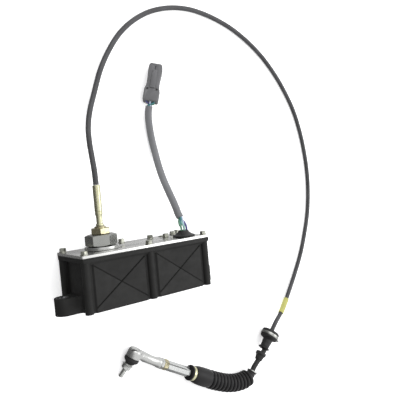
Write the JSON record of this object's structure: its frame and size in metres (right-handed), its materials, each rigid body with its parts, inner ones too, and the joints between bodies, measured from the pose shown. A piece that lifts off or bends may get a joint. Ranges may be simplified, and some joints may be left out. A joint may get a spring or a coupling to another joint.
{
  "type": "throttle motor",
  "caption": "Sealed gear-motor box with a bright cover plate that pulls a long push-pull cable ending in a bellows boot and a ball-joint rod end, with a wired plug.",
  "frame": {"origin": "centre of the box's back face, in the plane of its column feet", "axes": "+X along the box's length away from the cable outlet, +Y out through the cover plate, +Z out of the box's front face, away from the back face on which it lies"},
  "size_m": [0.5104, 0.5951, 0.072],
  "materials": {
    "black_plastic": "fine moulded grain",
    "black_rubber": "smooth moulded",
    "cover_aluminium": "brushed sheet",
    "zinc_steel": "clear zinc plate",
    "yellow_zinc": "yellow zinc plate",
    "dark_steel": "bare ground steel",
    "bronze": "cut gear metal",
    "grey_plastic": "smooth moulded",
    "white_plastic": "smooth moulded",
    "conduit_plastic": "extruded",
    "sleeve_plastic": "extruded",
    "tag_yellow": "shrunk sleeve",
    "lead_insulation": "coloured insulation",
    "seal_rubber": "soft moulded",
    "sensor_plastic": "moulded"
  },
  "bodies": {
    "drum": {"output_shaft": "dark_steel", "output_gear": "bronze", "cable_drum": "white_plastic", "cable_nipple": "bronze"},
    "idler": {"idler_gear": "bronze"},
    "rotor": {"motor_rotor": "zinc_steel"},
    "rod": {"rod_sleeve": "cover_aluminium", "link_screw": "zinc_steel", "yellow_locknut": "yellow_zinc", "pale_locknut": "zinc_steel", "ball_socket": "zinc_steel", "socket_liner": "white_plastic", "boot_band": "yellow_zinc"},
    "cap": {"dust_cap": "black_rubber"},
    "stud": {"ball_stud": "zinc_steel", "stud_nut": "zinc_steel"},
    "unit": {"housing": "black_plastic", "cover_gasket": "black_rubber", "harness_grommet": "black_rubber", "bulkhead_grommet": "black_rubber", "snap_ring": "black_rubber", "cone_seal": "black_rubber", "cable_stem": "black_rubber", "bellows_boot": "black_rubber", "cover_plate": "cover_aluminium", "left_lug_bush": "zinc_steel", "right_lug_bush": "zinc_steel", "vent_plug": "zinc_steel", "gland_washer": "zinc_steel", "gland_nut": "zinc_steel", "inner_cable": "zinc_steel", "bulkhead_bracket": "zinc_steel", "boot_core_cable": "zinc_steel", "boot_clip": "zinc_steel", "lower_gear_plate": "zinc_steel", "upper_gear_plate": "zinc_steel", "sensor_bracket": "zinc_steel", "mechanism_bracket": "zinc_steel", "cover_screw_1": "zinc_steel", "cover_screw_2": "zinc_steel", "cover_screw_3": "zinc_steel", "cover_screw_4": "zinc_steel", "cover_screw_5": "zinc_steel", "cover_screw_6": "zinc_steel", "mechanism_screw_1": "zinc_steel", "mechanism_screw_2": "zinc_steel", "mechanism_screw_3": "zinc_steel", "gland_body": "yellow_zinc", "gland_locknut": "yellow_zinc", "hub_tube": "yellow_zinc", "motor_can": "dark_steel", "plug_body": "grey_plastic", "blanking_plug": "white_plastic", "control_cable": "conduit_plastic", "harness_sleeve": "sleeve_plastic", "tag_band": "tag_yellow", "harness_leads_lower": "lead_insulation", "harness_leads_upper": "lead_insulation", "plug_rear_seal": "seal_rubber", "position_sensor": "sensor_plastic"}
  },
  "joints": [
    {"name": "drum_turn", "type": "hinge", "parent": "unit", "child": "drum", "pos_m": [-0.033, -0.002, 0.036], "axis": [0, 0, 1], "range_deg": [0, 90]},
    {"name": "idler_turn", "type": "hinge", "parent": "unit", "child": "idler", "pos_m": [-0.003, -0.002, 0.02], "axis": [0, 0, 1], "range_deg": [-360, 0]},
    {"name": "rotor_turn", "type": "hinge", "parent": "unit", "child": "rotor", "pos_m": [0.022, -0.002, 0.04], "axis": [0, 0, 1], "range_deg": [0, 1440]},
    {"name": "rod_slide", "type": "slide", "parent": "unit", "child": "rod", "axis": [0.8586, -0.5124, 0.0184], "range_m": [0, 0.0252], "deforming": ["bellows_boot", "boot_core_cable"]},
    {"name": "ball_tilt", "type": "hinge", "parent": "rod", "child": "cap", "pos_m": [-0.0052, -0.1166, 0.012], "axis": [0.8586, -0.5124, 0.0184], "range_deg": [-18, 18], "deforming": ["dust_cap"]},
    {"name": "stud_spin", "type": "hinge", "parent": "cap", "child": "stud", "pos_m": [-0.0052, -0.1166, 0.012], "axis": [-0.5709, -0.7821, -0.2498], "continuous": true}
  ],
  "couplings": [
    {"joint": "drum_turn", "follows": "rotor_turn", "ratio": 0.0625},
    {"joint": "idler_turn", "follows": "rotor_turn", "ratio": -0.25},
    {"joint": "rod_slide", "follows": "rotor_turn", "m_per_rad": 0.001}
  ]
}
